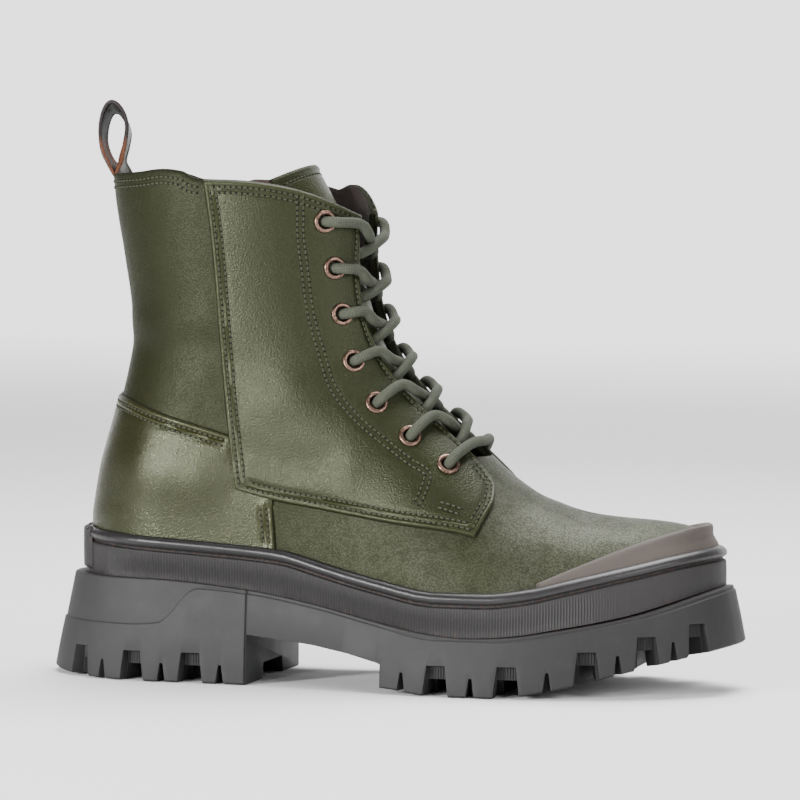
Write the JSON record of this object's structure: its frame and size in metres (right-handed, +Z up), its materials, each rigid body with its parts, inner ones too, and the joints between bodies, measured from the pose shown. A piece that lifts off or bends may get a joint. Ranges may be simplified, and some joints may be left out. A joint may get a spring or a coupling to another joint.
{
  "type": "lace-up boot",
  "caption": "Lace-up ankle boot with a thick lug sole, a panelled leather upper, eyelets and cord laces, an inner-side zip and a heel pull loop.",
  "frame": {"origin": "middle of the boot's plan on the floor", "axes": "+X from heel to toe, +Y to the inner (medial) side with the zip, +Z up"},
  "size_m": [0.2834, 0.1078, 0.2328],
  "materials": {
    "leather": "fine-grained olive green leather, low sheen",
    "outsole_rubber": "matte grey moulded rubber",
    "foxing_rubber": "dark brown-grey moulded rubber with fine ribs",
    "bumper_rubber": "brown-grey matte rubber",
    "felt": "dark brown felt",
    "eyelet_metal": "copper-coloured plated eyelet",
    "lace_cord": "round braided grey-green cord",
    "zip_black": "black zip, satin",
    "loop_leather": "cognac brown strap"
  },
  "bodies": {
    "boot": {"outsole": "outsole_rubber", "foxing": "foxing_rubber", "heel_clip": "foxing_rubber", "toe_bumper": "bumper_rubber", "upper": "leather", "heel_counter": "leather", "quarter_lateral": "leather", "quarter_medial": "leather", "tongue": "leather", "lace_keeper": "leather", "zip_guard": "leather", "insole": "felt", "eyelet_lateral_1": "eyelet_metal", "eyelet_lateral_2": "eyelet_metal", "eyelet_lateral_3": "eyelet_metal", "eyelet_lateral_4": "eyelet_metal", "eyelet_lateral_5": "eyelet_metal", "eyelet_lateral_6": "eyelet_metal", "eyelet_lateral_7": "eyelet_metal", "eyelet_medial_1": "eyelet_metal", "eyelet_medial_2": "eyelet_metal", "eyelet_medial_3": "eyelet_metal", "eyelet_medial_4": "eyelet_metal", "eyelet_medial_5": "eyelet_metal", "eyelet_medial_6": "eyelet_metal", "eyelet_medial_7": "eyelet_metal", "lace_bar": "lace_cord", "lace_crossing_1": "lace_cord", "lace_crossing_2": "lace_cord", "lace_crossing_3": "lace_cord", "lace_crossing_4": "lace_cord", "lace_crossing_5": "lace_cord", "lace_crossing_6": "lace_cord", "zip_chain": "zip_black", "zip_slider": "zip_black", "pull_loop": "loop_leather"},
    "zip_pull": {"zip_pull": "zip_black"}
  },
  "joints": [
    {"name": "zip_pull_hinge", "type": "hinge", "parent": "boot", "child": "zip_pull", "pos_m": [-0.06923, 0.04402, 0.19088], "axis": [1, 0, 0], "range_deg": [0, 165]}
  ]
}
